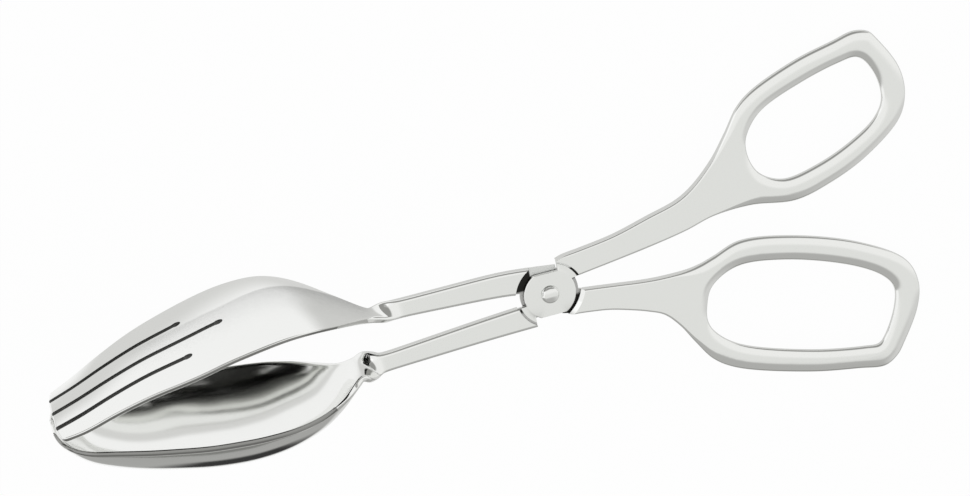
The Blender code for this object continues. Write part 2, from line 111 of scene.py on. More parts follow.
# Lapped hub and rivet
LAP_GAP = 0.0003
HUB_RECESS = 0.00015
HUB_RADIUS = 0.0072
REAR_HUB_RADIUS = 0.0081
HUB_FLAT = 0.0062
HUB_BEVEL = 0.00025
HUB_PROUD = 0.00002         # keeps the plate's faces off the level at which the recess is cut
RECESS_RADIUS = 0.0094
RING_DEPTH = 0.00015        # of the step around the hub plate, below it
GROOVE_WIDTH = 0.00065
GROOVE_DEPTH = 0.00045
RUNNING_GAP = 0.0011
SHOULDER_GAP = 0.0024
SHOULDER_HALF_ANGLE = math.radians(40.0)
SHOULDER_CHAMFER = (0.0010, 0.00072)
CHAMFER_OVERRUN = 0.2       # share of the chamfer by which its cutter reaches past it
FORK_STEM_SIDE = math.radians(-45.0)
RIVET_SHANK = 0.0034
RIVET_HEAD = 0.0050
RIVET_HEAD_FLAT = 0.0030
RIVET_HEAD_HEIGHT = 0.0009
RIVET_CLEARANCE = 0.0003
UNDER_HEAD_GAP = RIVET_CLEARANCE / 3

# Edge roundings as (width in the face, depth across the thickness)
STEM_ROUNDING = (0.0006, 0.0005)
LOOP_ROUNDING = (0.0027, 0.00095)
HUB_ROUNDING = (0.00012, 0.00012)
ARM_ROUNDING = (0.0008, 0.0007)
BOWL_ROUNDING = (0.0005, 0.0005)
LOOP_ROUNDING_FROM = 0.80   # share of the stem at which the loop's rounder edge begins
LOOP_ROUNDING_FULL = 1.05
HUB_EDGE_FROM = 0.6         # share of the hub's radius from which the stem's edge is rounder again
HUB_EDGE_SHARE = 0.15       # of the rounding, inside that radius
WIDEST_ROUNDING = 0.6       # of a row's half width

# Finger holes: (share of the hole's length, share of half its width)
UPPER_HOLE_FORM = (
    (0.0, -0.10), (0.025, 0.36), (0.085, 0.63), (0.22, 0.90), (0.55, 1.0), (0.82, 0.95), (0.93, 0.87),
    (0.975, 0.68), (1.0, 0.12), (0.96, -0.42), (0.86, -0.72), (0.66, -0.92), (0.40, -1.0),
    (0.15, -0.89), (0.03, -0.51),
)
LOWER_HOLE_FORM = (
    (0.0, 0.0), (0.015, 0.35), (0.066, 0.60), (0.197, 0.86), (0.59, 1.0), (0.87, 0.93), (0.945, 0.87),
    (0.972, 0.68), (1.0, 0.05), (0.985, -0.38), (0.92, -0.63), (0.75, -0.865), (0.38, -1.0),
    (0.13, -0.85), (0.015, -0.42),
)
# Loops' outer edges: a place at the hole as above, then limb widths outward, along and across
UPPER_EDGE_FORM = (
    (0.085, 0.63, 0.0, 1.13), (0.22, 0.90, 0.0, 0.97), (0.57, 1.0, 0.0, 0.98), (0.84, 0.94, 0.0, 0.98),
    (0.94, 0.86, 0.36, 1.04), (0.97, 0.70, 0.72, 0.98), (0.98, 0.66, 0.84, 0.60),
    (1.0, 0.12, 1.02, 0.0), (0.97, -0.36, 0.98, -0.28), (0.90, -0.64, 0.72, -0.68),
    (0.66, -0.92, 0.25, -0.93), (0.40, -1.0, 0.0, -1.0), (0.15, -0.89, 0.0, -1.08),
)
LOWER_EDGE_FORM = (
    (0.066, 0.60, 0.0, 1.17), (0.197, 0.86, 0.0, 1.05), (0.59, 1.0, 0.0, 0.98), (0.85, 0.94, 0.0, 0.97),
    (0.945, 0.87, 0.40, 0.98), (0.97, 0.70, 0.68, 0.84), (0.98, 0.62, 0.82, 0.42),
    (1.0, 0.05, 1.03, 0.0), (0.985, -0.34, 1.06, -0.32), (0.93, -0.60, 0.85, -0.78),
    (0.75, -0.865, 0.20, -1.02), (0.40, -1.0, 0.0, -1.05), (0.13, -0.85, 0.0, -1.12),
)
# Stems' edges: (share of the stem's length, height in stem widths)
UPPER_STEM_OUTSIDE = (
    (0.053, 1.25), (0.10, 1.37), (0.17, 1.44), (0.33, 1.63), (0.50, 2.00), (0.64, 2.32), (0.72, 2.70),
    (0.83, 3.55), (0.91, 4.45),
)
UPPER_STEM_INSIDE = (
    (0.97, 1.40), (0.80, 1.38), (0.66, 1.08), (0.50, 0.84), (0.33, 0.64), (0.20, 0.50), (0.053, 0.34),
)
LOWER_STEM_OUTSIDE = (
    (0.06, -0.96), (0.13, -1.06), (0.24, -1.15), (0.36, -1.27), (0.48, -1.48), (0.61, -1.76),
    (0.71, -2.06), (0.80, -2.68), (0.88, -3.50),
)
LOWER_STEM_INSIDE = (
    (1.10, -0.27), (1.00, -0.45), (0.90, -0.55), (0.72, -0.55), (0.59, -0.48), (0.47, -0.38),
    (0.30, -0.24), (0.06, -0.05),
)
# Bowls' outlines: (share of the widening length, share of half the width)
OUTLINE_FORM = (
    (0.0, 0.128), (0.028, 0.22), (0.073, 0.375), (0.119, 0.535), (0.153, 0.645), (0.188, 0.745),
    (0.233, 0.845), (0.289, 0.93), (0.345, 0.972), (0.425, 1.0), (0.516, 1.0), (0.573, 0.985),
)
SPOON_OUTLINE = OUTLINE_FORM + ((0.688, 0.915), (0.80, 0.84), (1.0, 0.76))
FORK_OUTLINE = OUTLINE_FORM + ((0.688, 0.91), (0.805, 0.81), (0.925, 0.70), (1.0, 0.60))
# Blunt ends: (share of that length where the end begins, power of its curve)
SPOON_END = (0.856, 2.6)
FORK_END = (0.978, 3.0)
# Along the bowls: (share of the bowl's length, share of the depth, sag, arch or crown)
DEPTH_FORM = (
    (0.0, 0.0), (0.02, 0.10), (0.056, 0.30), (0.129, 0.575), (0.178, 0.70), (0.238, 0.82), (0.30, 0.914),
    (0.36, 0.967), (0.445, 1.0), (0.5425, 0.98), (0.6155, 0.942), (0.698, 0.885), (0.786, 0.806),
    (0.847, 0.72), (0.9075, 0.575), (0.944, 0.40), (0.98, 0.165), (1.0, 0.02),
)
RIM_SAG_FORM = (
    (0.0, 0.0), (0.02, 0.30), (0.056, 0.67), (0.129, 0.875), (0.238, 0.97), (0.36, 1.0), (0.506, 0.935),
    (0.6155, 0.81), (0.725, 0.66), (0.786, 0.51), (0.847, 0.31), (0.92, 0.115), (0.956, 0.03), (1.0, 0.0),
)
ARCH_FORM = (
    (0.0, 0.0), (0.03, 0.14), (0.075, 0.318), (0.12, 0.509), (0.19, 0.771), (0.235, 0.89), (0.293, 0.984),
    (0.35, 1.0), (0.41, 0.986), (0.4655, 0.946), (0.523, 0.875), (0.58, 0.804), (0.695, 0.656),
    (0.81, 0.419), (0.925, 0.127), (1.0, 0.0),
)
CROWN_FORM = (
    (0.0, 0.0), (0.12, 0.66), (0.235, 1.0), (0.35, 0.66), (0.43, 0.27), (0.58, 0.21), (0.70, 0.20),
    (0.81, 0.26), (0.925, 0.42), (1.0, 0.34),
)
SPOON_WALL_POWER = 0.70     # of the wall's curve across the spoon, 1 at the neck
WALL_SETTLES = 0.15         # share of the spoon's length by which its wall has that curve
NECK_SETTLES = 0.12         # share of a bowl's length by which it has its own thickness and rounding
# Rivet's tail: (share of the head's width, share of its height)
RIVET_TAIL_FORM = ((0.47, 0.0), (0.46, 0.25), (0.36, 0.55), (0.2, 0.66), (0.0, 0.68))

# Fineness of the meshes
EDGE_CURVE_STEPS = 10
HOLE_CURVE_STEPS = 8
ROUND_STEPS = 6
ARM_ROWS = 16
TWIST_ROWS = 20
BOWL_ROWS = 110
ROWS_CROWD = 1.6            # power by which rows stand closer towards the tip
LAST_ROW = 0.9990
BLUNT_ENDS_FROM = 0.84
INNER_COLUMNS = 40
EDGE_STEPS = 5
SMOOTHINGS = 6
SLOT_ROOT_STEPS = 24
RIVET_HEAD_STEPS = 8
SHEET_MERGE = 0.000002
MERGE = 0.000001
TINY = 1e-9
SHADED_SMOOTH = math.radians(32)

# Front rims of the bowls, with steel of their own that has painted shade: a darker tone in place of the dark
# they mirror
SPOON_RIM_COLUMNS = 4
FORK_RIM_COLUMNS = 1
RIM_STARTS = 8              # rows from the neck

# Polished steel; an edge is (where a mask is 0, where it is 1)
STEEL_TONE = (0.885, 0.89, 0.875)
# painted shade of the bowls' front rims
RIM_SHADE_TONE = (0.30, 0.30, 0.29)
POLISH = (0.04, 0.10)       # roughness
POLISH_CLOUDS = 60.0        # per metre
POLISH_LINES = (90.0, 2600.0, 2600.0)  # per metre along x, y and z
LINE_STRENGTH = 0.03
LINE_DEPTH = 0.00002
BOWL_SATIN = 0.035          # how much rougher the bowls are than the handles
BOWL_SATIN_EDGE = (-0.044, -0.060)
# Painted shade in crevices: the steel's tone darkens where other surfaces shut it in
CREVICE_SHADE_REACH = 0.0028
CREVICE_SHADE_OPEN = (0.10, 0.70)
CREVICE_SHADE_SHARE = 0.45        # of the tone, where it is shut in
# The fork's inside, with painted shade where the spoon shuts it in
INSIDE_SHADE_TONE = (0.02, 0.02, 0.018)
INSIDE_NECK_EDGE = (-0.045, -0.052)
INSIDE_TIP_EDGE = (-0.118, -0.106)
INSIDE_FRONT_EDGE = (-0.0100, -0.0082)
INSIDE_REACH = 0.08
INSIDE_OPEN = (0.30, 0.75)

# Cut faces, with painted shade: a dark steel where gaps, recesses and slots lie in shade, and painted light
# where they are lit
GRAIN = 3500.0              # per metre
# dark tones of the cut faces: painted shade, varied at random by the grain
GRAIN_AND_SHADE_TONES = (0.012, 0.012, 0.011), (0.04, 0.04, 0.036)
GRAIN_ROUGHNESS = (0.35, 0.55)
# painted light on the cut faces at the lower left
LOWER_LEFT_LIGHT_TONE = (0.60, 0.60, 0.59)
LOWER_LEFT_LIGHT_EDGES = (0.0, -0.001), (-0.003, -0.004)
# painted light on the cut faces between the arms
BETWEEN_LIGHT_TONE = (0.55, 0.55, 0.54)
BETWEEN_EDGES = (-0.0028, -0.0018), (0.0026, 0.0020)
BETWEEN_FROM = (-0.015, -0.012)
# painted shade in the slots, less dark than on the other cut faces
SLOT_SHADE_TONE = (0.15, 0.15, 0.145)
SLOT_EDGE = (-0.075, -0.080)
# painted light on a lapped face past a corner
LIT_CORNER_TONE = (0.85, 0.86, 0.845)
LIT_CORNER_PLACE = (-0.0043, 0.0060)  # x and y, past which a lapped face has painted light
LIT_CORNER_SOFTNESS = 0.0002

# Floor, with painted shade: grey patches that only mirrored rays see
WHITE = (1, 1, 1)
PAPER_TONE = (0.90, 0.90, 0.90, 1)
PAPER_ROUGHNESS = 0.9
PAPER_GLOW = 0.97           # share of its own glow in what the camera and mirrored rays see
FLOOR_HALF = 2.5
FLOOR_LEVEL = -0.0001
BEHIND_SHADE_TONE = (0.72, 0.72, 0.71)
BEHIND_EDGES = (0.004, 0.009), (0.023, 0.015)
UNDER_SHADE_TONE = (0.68, 0.68, 0.67)
UNDER_FROM = (-0.055, -0.035)
UNDER_TO = (0.050, 0.034)   # along the slant
UNDER_SLANT = (-0.3, 1.0, 0.0)
FRONT_SHADE_TONE = (0.40, 0.40, 0.39)
FRONT_EDGE = (-0.050, -0.065)
STRIP_SHADE_TONE = (0.02, 0.02, 0.02)
STRIP_EDGES_X = (-0.115, -0.095), (-0.028, -0.060)
STRIP_EDGES_Y = (-0.058, -0.066), (-0.16, -0.11)

# Surroundings by direction: the sky and what stands low in front
SKY_TONE = (0.93, 0.93, 0.92)
FRONT_SKY_TONE = (0.81, 0.815, 0.80)
FRONT_SKY_TO_SKY = (-0.36, -0.18)
LEFT_SKY_TONE = (0.98, 0.98, 0.98)
LEFT_SKY_EDGE = (-0.2, -0.5)
REAR_SKY_TONE = (0.32, 0.32, 0.31)
REAR_SKY_EDGE = (0.40, 0.60)
LOW_TONE = (0.46, 0.46, 0.45)
LOW_EDGE = (-0.43, -0.54)
LOWEST_TONE = (0.22, 0.22, 0.21)
LOWEST_EDGE = (0.35, 0.10)
LOW_RIGHT_TONE = (0.68, 0.68, 0.67)
LOW_RIGHT_EDGE = (0.25, 0.60)
LAMP_PLACE = (-0.9, 0.8, 1.1)
LAMP_SIZE = (1.0, 0.7)
LAMP_POWER = 0.3

# Camera: its axes in the tongs' own plane and its lens
CAMERA_RIGHT = Vector((0.955, -0.1734, 0.2407))
CAMERA_UP = Vector((0.2532, 0.8992, -0.3569))
CAMERA_BACK = Vector((-0.1546, 0.4018, 0.9026))
CAMERA_DISTANCE = 0.9
CAMERA_LENS = 123.6
CAMERA_SENSOR = 36.0
CAMERA_SHIFT = (-0.0662, 0.0462)


def spline(form, position):
    """Smooth curve through the points of a form, without overshoot (monotone cubic)."""
    x = np.array([point[0] for point in form])
    y = np.array([point[1] for point in form])
    step = np.diff(x)
    slope = np.diff(y) / step
    tangent = np.zeros(len(x))
    tangent[0], tangent[-1] = slope[0], slope[-1]
    for i in range(1, len(x) - 1):
        if slope[i - 1] * slope[i] > 0:
            before, after = 2 * step[i] + step[i - 1], step[i] + 2 * step[i - 1]
            tangent[i] = (before + after) / (before / slope[i - 1] + after / slope[i])
    i = int(np.clip(np.searchsorted(x, position) - 1, 0, len(step) - 1))
    s = (position - x[i]) / step[i]
    return (
        y[i] * (1 + 2 * s) * (1 - s) ** 2 + tangent[i] * step[i] * s * (1 - s) ** 2
        + y[i + 1] * s * s * (3 - 2 * s) + tangent[i + 1] * step[i] * s * s * (s - 1)
    )


def smooth(anchors, steps, closed):
    """Curve through the anchors, closed or open (centripetal Catmull-Rom)."""
    points = [Vector(anchor) for anchor in anchors]
    if closed:
        points = [points[-1]] + points + points[:2]
    else:
        points = [points[0] * 2 - points[1]] + points + [points[-1] * 2 - points[-2]]
    curve = []
    for p0, p1, p2, p3 in zip(points, points[1:], points[2:], points[3:]):
        t1 = (p1 - p0).length ** 0.5
        t2 = t1 + (p2 - p1).length ** 0.5
        t3 = t2 + (p3 - p2).length ** 0.5
        for k in range(steps):
            t = t1 + (t2 - t1) * k / steps
            a1 = p0 * ((t1 - t) / t1) + p1 * (t / t1)
            a2 = p1 * ((t2 - t) / (t2 - t1)) + p2 * ((t - t1) / (t2 - t1))
            a3 = p2 * ((t3 - t) / (t3 - t2)) + p3 * ((t - t2) / (t3 - t2))
            b1 = a1 * ((t2 - t) / t2) + a2 * (t / t2)
            b2 = a2 * ((t3 - t) / (t3 - t1)) + a3 * ((t - t1) / (t3 - t1))
            curve.append(b1 * ((t2 - t) / (t2 - t1)) + b2 * ((t - t1) / (t2 - t1)))
    if not closed:
        curve.append(points[-2])
    return curve


def ease(low, high, value):
    """A number that rises smoothly from 0 to 1 while the value goes from low to high."""
    share = min(1.0, max(0.0, (value - low) / (high - low)))
    return share * share * (3 - 2 * share)


def mix(a, b, share):
    """The number at a share of the way from a to b."""
    return a + (b - a) * share


def handle_outlines(stem, length, width, tilt, rise, side, hole_form, edge_form, outside, inside):
    """A handle's outer edge and its finger hole as closed outlines."""
    along = Vector((math.cos(tilt), math.sin(tilt)))
    across = Vector((-math.sin(tilt), math.cos(tilt))) * side
    origin = Vector((stem, rise))

    def around_hole(share, half_share, limbs_along=0.0, limbs_across=0.0):
        reach = share * length + limbs_along * LIMB
        spread = half_share * width / 2 + limbs_across * LIMB
        return origin + along * reach + across * spread

    hole = [around_hole(*point) for point in hole_form]
    edge = [Vector((share * stem, height * STEM_WIDTH)) for share, height in outside]
    edge += [around_hole(*point) for point in edge_form]
    edge += [Vector((share * stem, height * STEM_WIDTH)) for share, height in inside]
    return [wound(smooth(edge, EDGE_CURVE_STEPS, False), 1), wound(smooth(hole, HOLE_CURVE_STEPS, True), -1)]


def wound(points, sense):
    """The outline with its material on the left: sense is 1 for an outer edge and -1 for a hole."""
    area = sum(a.x * b.y - b.x * a.y for a, b in zip(points, points[1:] + points[:1]))
    return points if area * sense > 0 else points[::-1]


def solid_from(name, work):
    """A new object in the scene with the finished mesh."""
    bmesh.ops.recalc_face_normals(work, faces=work.faces)
    mesh = bpy.data.meshes.new(name)
    work.to_mesh(mesh)
    work.free()
    obj = bpy.data.objects.new(name, mesh)
    bpy.context.scene.collection.objects.link(obj)
    return obj


def bridge(work, rings):
    """Faces between each closed ring of points and the next."""
    for a, b in zip(rings, rings[1:]):
        for i in range(len(a)):
            work.faces.new((a[i - 1], a[i], b[i], b[i - 1]))


def circle(work, radius, z, steps):
    """A ring of points about the rivet's axis."""
    turns = [2 * math.pi * k / steps for k in range(steps)]
    return [work.verts.new((radius * math.cos(turn), radius * math.sin(turn), z)) for turn in turns]


def blank(name, loops, thickness, rounding):
    """A plate between closed outlines with rounded edges; rounding gives (width, depth) at a point."""
    work = bmesh.new()
    faces = {1: [], -1: []}
    for points in loops:
        rings = []
        for side in (1, -1):
            for k in range(ROUND_STEPS + 1)[::side]:
                turn = math.pi / 2 * k / ROUND_STEPS
                ring = []
                for i, point in enumerate(points):
                    width, depth = rounding(point)
                    along = (points[(i + 1) % len(points)] - points[i - 1]).normalized()
                    inward = Vector((-along.y, along.x)) * width * (1 - math.sin(turn))
                    level = side * (thickness / 2 - depth * (1 - math.cos(turn)))
                    ring.append(work.verts.new((point.x + inward.x, point.y + inward.y, level)))
                rings.append(ring)
        faces[1].append(rings[0])
        faces[-1].append(rings[-1])
        bridge(work, rings)
    for rings in faces.values():
        corners = [vert for ring in rings for vert in ring]
        for triple in tessellate_polygon([[vert.co for vert in ring] for ring in rings]):
            work.faces.new([corners[i] for i in triple])
    return solid_from(name, work)


def turned(name, profile, steps=96):
    """A solid of revolution about the rivet's axis; the profile runs from the axis to the axis."""
    work = bmesh.new()
    ends = [work.verts.new((0, 0, profile[0][1])), work.verts.new((0, 0, profile[-1][1]))]
    rings = [circle(work, radius, z, steps) for radius, z in profile[1:-1]]
    bridge(work, rings)
    for end, ring in zip(ends, (rings[0], rings[-1])):
        for i in range(steps):
            work.faces.new((end, ring[i - 1], ring[i]))
    return solid_from(name, work)


def square_ring(name, inner, outer, low, high, steps=96):
    """A square-edged ring about the rivet's axis."""
    work = bmesh.new()
    corners = (inner, low), (outer, low), (outer, high), (inner, high)
    rings = [circle(work, radius, z, steps) for radius, z in corners]
    bridge(work, rings + rings[:1])
    return solid_from(name, work)


def lap_cutter(name, levels, steps=144):
    """A recess around the pivot; levels are (z, distance of the slightly curved shoulder, radius)."""
    work = bmesh.new()
    rings = []
    for z, shoulder, radius in levels:
        ring = []
        for k in range(steps):
            turn = 2 * math.pi * (k + 0.5) / steps - math.pi
            reach = shoulder / math.cos(turn / 2) if abs(turn) < SHOULDER_HALF_ANGLE else radius
            angle = FORK_STEM_SIDE + turn
            ring.append(work.verts.new((reach * math.cos(angle), reach * math.sin(angle), z)))
        rings.append(ring)
    bridge(work, rings)
    work.faces.new(rings[0])
    work.faces.new(rings[-1])
    return solid_from(name, work)


def slot_cutter(name, root, at_root, at_tip):
    """A slot from its round root, a little wider than the slot, to beyond the fork's tip."""
    half = SLOT_WIDTH / 2
    start = Vector((-root - SLOT_ROOT_RADIUS, at_root))
    end = Vector((-PIVOT_TO_TIP - SLOT_WIDTH, at_tip))
    along = (end - start).normalized()
    across = Vector((-along.y, along.x))
    meets = math.asin(half / SLOT_ROOT_RADIUS)
    outline = [end - across * half]
    for k in range(SLOT_ROOT_STEPS + 1):
        angle = -mix(meets, 2 * math.pi - meets, k / SLOT_ROOT_STEPS)
        outline.append(start + (along * math.cos(angle) + across * math.sin(angle)) * SLOT_ROOT_RADIUS)
    outline.append(end + across * half)
    work = bmesh.new()
    levels = (-SLOT_CUTTER_HEIGHT / 2, SLOT_CUTTER_HEIGHT / 2)
    ends = [[work.verts.new((point.x, y, -point.y)) for point in outline] for y in levels]
    for ring in ends:
        work.faces.new(ring)
    bridge(work, ends)
    return solid_from(name, work)


def hub_outline(radius, steps=36):
    """Round plate with two straight sides, along which the arms pass."""
    half_flat = math.acos(HUB_FLAT / radius)
    points = []
    for side in (1, -1):
        start = side * math.pi / 2 + half_flat
        for k in range(steps + 1):
            angle = start + (math.pi - 2 * half_flat) * k / steps
            points.append(Vector((math.cos(angle), math.sin(angle))) * radius)
    return points


def blunt_end(share, end_form):
    """Narrowing of a bowl towards its tip, from 1 to 0; share is of the widening length."""
    start, power = end_form
    end = max(0.0, (share - start) / (1 - start))
    return max(0.0, 1 - end ** power) ** (1 / power)


def half_width(share, outline):
    """Half the width of a bowl before its blunt end; share is of the widening length."""
    return BOWL_WIDTH / 2 * spline(outline, share)


def fork_height(share, column, blunt):
    """Height of the fork's middle surface; column is -1 and 1 at its edges."""
    tip = SPOON_TIP_HEIGHT + SHEET + TIP_CLEARANCE
    crown = FORK_CROWN * spline(CROWN_FORM, share) * (1 - (column * blunt) ** 2)
    return mix(FORK_NECK_HEIGHT, tip, share) + FORK_ARCH * spline(ARCH_FORM, share) + crown


def spoon_height(share, column, blunt):
    """Height of the spoon's middle surface; its wall follows the blunt end by itself."""
    line = mix(SPOON_NECK_HEIGHT, SPOON_TIP_HEIGHT, share)
    rim = line - SPOON_RIM_SAG * spline(RIM_SAG_FORM, share)
    power = 1 + (SPOON_WALL_POWER - 1) * min(1.0, share / WALL_SETTLES)
    return rim - SPOON_DEPTH * spline(DEPTH_FORM, share) * max(0.0, 1 - column * column) ** power


def columns_for(reach, width):
    """Column places from -1 to 1, close together where the edges are rounded, with their edge distance."""
    width = min(width, reach * WIDEST_ROUNDING)
    steps = [1 - math.sin(math.pi / 2 * k / EDGE_STEPS) for k in range(EDGE_STEPS, -1, -1)]
    edge = [-1 + width / reach * step for step in steps]
    inner = np.linspace(edge[-1], -edge[-1], INNER_COLUMNS + 1)[1:-1]
    places = np.concatenate((edge, inner, [-place for place in reversed(edge)]))
    return places, (1 - np.abs(places)) * reach


def thinned(distance, thickness, rounding):
    """Half the thickness at a distance from a rounded edge."""
    width, depth = rounding
    inside = np.clip(1 - distance / width, 0, 1)
    return thickness / 2 - min(depth, thickness / 2) * (1 - np.sqrt(1 - inside ** 2))


def arm_rows(root, twist_start, width, height, neck_height, root_drop):
    """Rows of an arm: each is its middle surface's points and half its thickness at them."""
    rows = []
    for k in range(ARM_ROWS):
        share = k / ARM_ROWS
        x = mix(root, -twist_start, share)
        drop = root_drop * max(0.0, 1 - (root - x) / ROOT_LENGTH)
        middle = mix(height, neck_height, share) - drop
        reach = mix(width, ARM_WIDTH_AT_NECK, share) / 2
        places, distance = columns_for(reach, ARM_ROUNDING[0])
        rows.append(([(x, middle + c * reach, 0) for c in places], thinned(distance, PLATE, ARM_ROUNDING)))
    return rows


def twist_rows(twist_start, twist_end, neck_height, neck_reach):
    """Rows of a neck, which turns by a quarter from the arm to the bowl."""
    rows = []
    for k in range(TWIST_ROWS + 1):
        share = k / TWIST_ROWS
        eased = ease(0, 1, share)
        turn = math.pi / 2 * eased
        x = mix(-twist_start, -twist_end, share)
        reach = mix(ARM_WIDTH_AT_NECK / 2, neck_reach, eased)
        up, out = reach * math.cos(turn), reach * math.sin(turn)
        places, distance = columns_for(reach, ARM_ROUNDING[0])
        rows.append(([(x, neck_height + c * up, -c * out) for c in places],
                     thinned(distance, mix(PLATE, NECK_THICKNESS, eased), ARM_ROUNDING)))
    return rows


def bowl_rows(twist_end, widens_from, tip, outline, end_form, height):
    """Rows of the bowl beyond the neck; its edge is rounded all round, also at the blunt end."""
    reaches, xs = [], []
    for k in range(1, BOWL_ROWS + 1):
        share = min(1 - (1 - k / BOWL_ROWS) ** ROWS_CROWD, LAST_ROW)
        x = mix(twist_end, tip, share)
        widened = (x - widens_from) / (tip - widens_from)
        reaches.append(half_width(widened, outline) * blunt_end(widened, end_form))
        xs.append(x)
    rows = []
    for k, (x, reach) in enumerate(zip(xs, reaches)):
        share = (x - twist_end) / (tip - twist_end)
        widened = (x - widens_from) / (tip - widens_from)
        grown = min(1.0, share / NECK_SETTLES)
        rounding = [mix(a, b, grown) for a, b in zip(ARM_ROUNDING, BOWL_ROUNDING)]
        places, distance = columns_for(reach, rounding[0])
        if widened > BLUNT_ENDS_FROM:
            ahead = np.interp(np.abs(places) * reach, reaches[k:][::-1], xs[k:][::-1]) - x
            distance = distance * ahead / np.maximum(np.hypot(distance, ahead), TINY)
        points = [(-x, height(share, c, blunt_end(widened, end_form)), -c * reach) for c in places]
        rows.append((points, thinned(distance, mix(NECK_THICKNESS, SHEET, grown), rounding)))
    return rows


def direction(points, axis):
    """Direction of a grid's points along one axis, also where they are unevenly spaced."""
    points = np.moveaxis(points, axis, 0)
    step = np.diff(points, axis=0)
    length = np.maximum(np.linalg.norm(step, axis=2, keepdims=True), TINY)
    rate = step / length
    middle = (rate[:-1] * length[1:] + rate[1:] * length[:-1]) / (length[1:] + length[:-1])
    return np.moveaxis(np.concatenate((rate[:1], middle, rate[-1:])), 0, axis)


def sheet(name, rows, polished, rim, rim_columns):
    """A closed sheet around the rows of its middle surface; the bowl's front rim has its own material, with
    painted shade.
    """
    rim_from = ARM_ROWS + TWIST_ROWS + RIM_STARTS
    middle = np.array([row[0] for row in rows])
    half = np.array([row[1] for row in rows])[:, :, None]
    for _ in range(SMOOTHINGS):
        middle[1:-1] = (middle[:-2] + 2 * middle[1:-1] + middle[2:]) / 4
    normal = np.cross(direction(middle, 0), direction(middle, 1))
    normal /= np.linalg.norm(normal, axis=2, keepdims=True)
    work = bmesh.new()
    grids = []
    for side in (1, -1):
        grids.append([[work.verts.new(point) for point in row] for row in middle + side * half * normal])
    top, bottom = grids
    last = len(top[0]) - 1
    for grid in grids:
        for k, (a, b) in enumerate(zip(grid, grid[1:])):
            for i in range(last):
                face = work.faces.new((a[i], a[i + 1], b[i + 1], b[i]))
                face.material_index = int(k >= rim_from and i < rim_columns)
    for i in (0, last):
        for k in range(len(top) - 1):
            face = work.faces.new((top[k][i], top[k + 1][i], bottom[k + 1][i], bottom[k][i]))
            face.material_index = int(k >= rim_from and i == 0)
    for k in (0, -1):
        for i in range(last):
            work.faces.new((top[k][i], top[k][i + 1], bottom[k][i + 1], bottom[k][i]))
    bmesh.ops.remove_doubles(work, verts=work.verts, dist=SHEET_MERGE)
    strap = solid_from(name, work)
    strap.data.materials.append(polished)
    strap.data.materials.append(rim)
    return strap


def join(target, tool, operation, material=None):
    """Join or cut with another solid; a cut leaves faces of the given material."""
    if material:
        tool.data.materials.append(material)
    boolean = target.modifiers.new(tool.name, 'BOOLEAN')
    boolean.operation = operation
    boolean.solver = 'EXACT'
    boolean.material_mode = 'TRANSFER'
    boolean.object = tool
    HELPERS.append(tool)


def settled(obj):
    """The object with its modifiers applied and its helpers removed, laid in the row's frame."""
    graph = bpy.context.evaluated_depsgraph_get()
    mesh = bpy.data.meshes.new_from_object(obj.evaluated_get(graph))
    obj.modifiers.clear()
    obj.data = mesh
    work = bmesh.new()
    work.from_mesh(mesh)
    bmesh.ops.remove_doubles(work, verts=work.verts, dist=MERGE)
    bmesh.ops.dissolve_degenerate(work, edges=work.edges, dist=MERGE)
    work.to_mesh(mesh)
    work.free()
    mesh.transform(REST)
    for tool in HELPERS:
        bpy.data.objects.remove(tool, do_unlink=True)
    HELPERS.clear()
    mesh.shade_smooth()
    mesh.set_sharp_from_angle(angle=SHADED_SMOOTH)
    weighted = obj.modifiers.new('Even shading', 'WEIGHTED_NORMAL')
    weighted.keep_sharp = True
    return obj


def cut_lap(body, name, side, near_gap, polished, cut):
    """Takes away the other lever's half of the hub and chamfers the shoulder towards it."""
    near, far = HUB_RADIUS + near_gap, HUB_RADIUS + SHOULDER_GAP
    width, depth = SHOULDER_CHAMFER
    mating, face, beyond = side * LAP_GAP / 2, -side * PLATE / 2, -side * PLATE
    join(body, lap_cutter(name + '_lap', [(mating, near, far), (beyond, near, far)]), 'DIFFERENCE', cut)
    cone = [(face + side * depth * (1 + CHAMFER_OVERRUN), near - width * CHAMFER_OVERRUN, HUB_RADIUS),
            (beyond, near + width + width / depth * PLATE / 2, HUB_RADIUS)]
    join(body, lap_cutter(name + '_chamfer', cone), 'DIFFERENCE', polished)


def cut_recess(body, name, side, radius, polished, cut):
    """Sinks the hub plate a little, with a lower step around it and a groove along the step's outer edge."""
    plate_face = side * (PLATE / 2 - HUB_RECESS)
    step = plate_face - side * RING_DEPTH
    high = side * PLATE
    recess = [(0, high), (RECESS_RADIUS, high), (RECESS_RADIUS, step), (radius, step),
              (radius - HUB_BEVEL, plate_face), (0, plate_face)]
    join(body, turned(name + '_recess', recess), 'DIFFERENCE', polished)
    levels = sorted((plate_face - side * GROOVE_DEPTH, high))
    groove = square_ring(name + '_groove', RECESS_RADIUS - GROOVE_WIDTH, RECESS_RADIUS, *levels)
    join(body, groove, 'DIFFERENCE', cut)


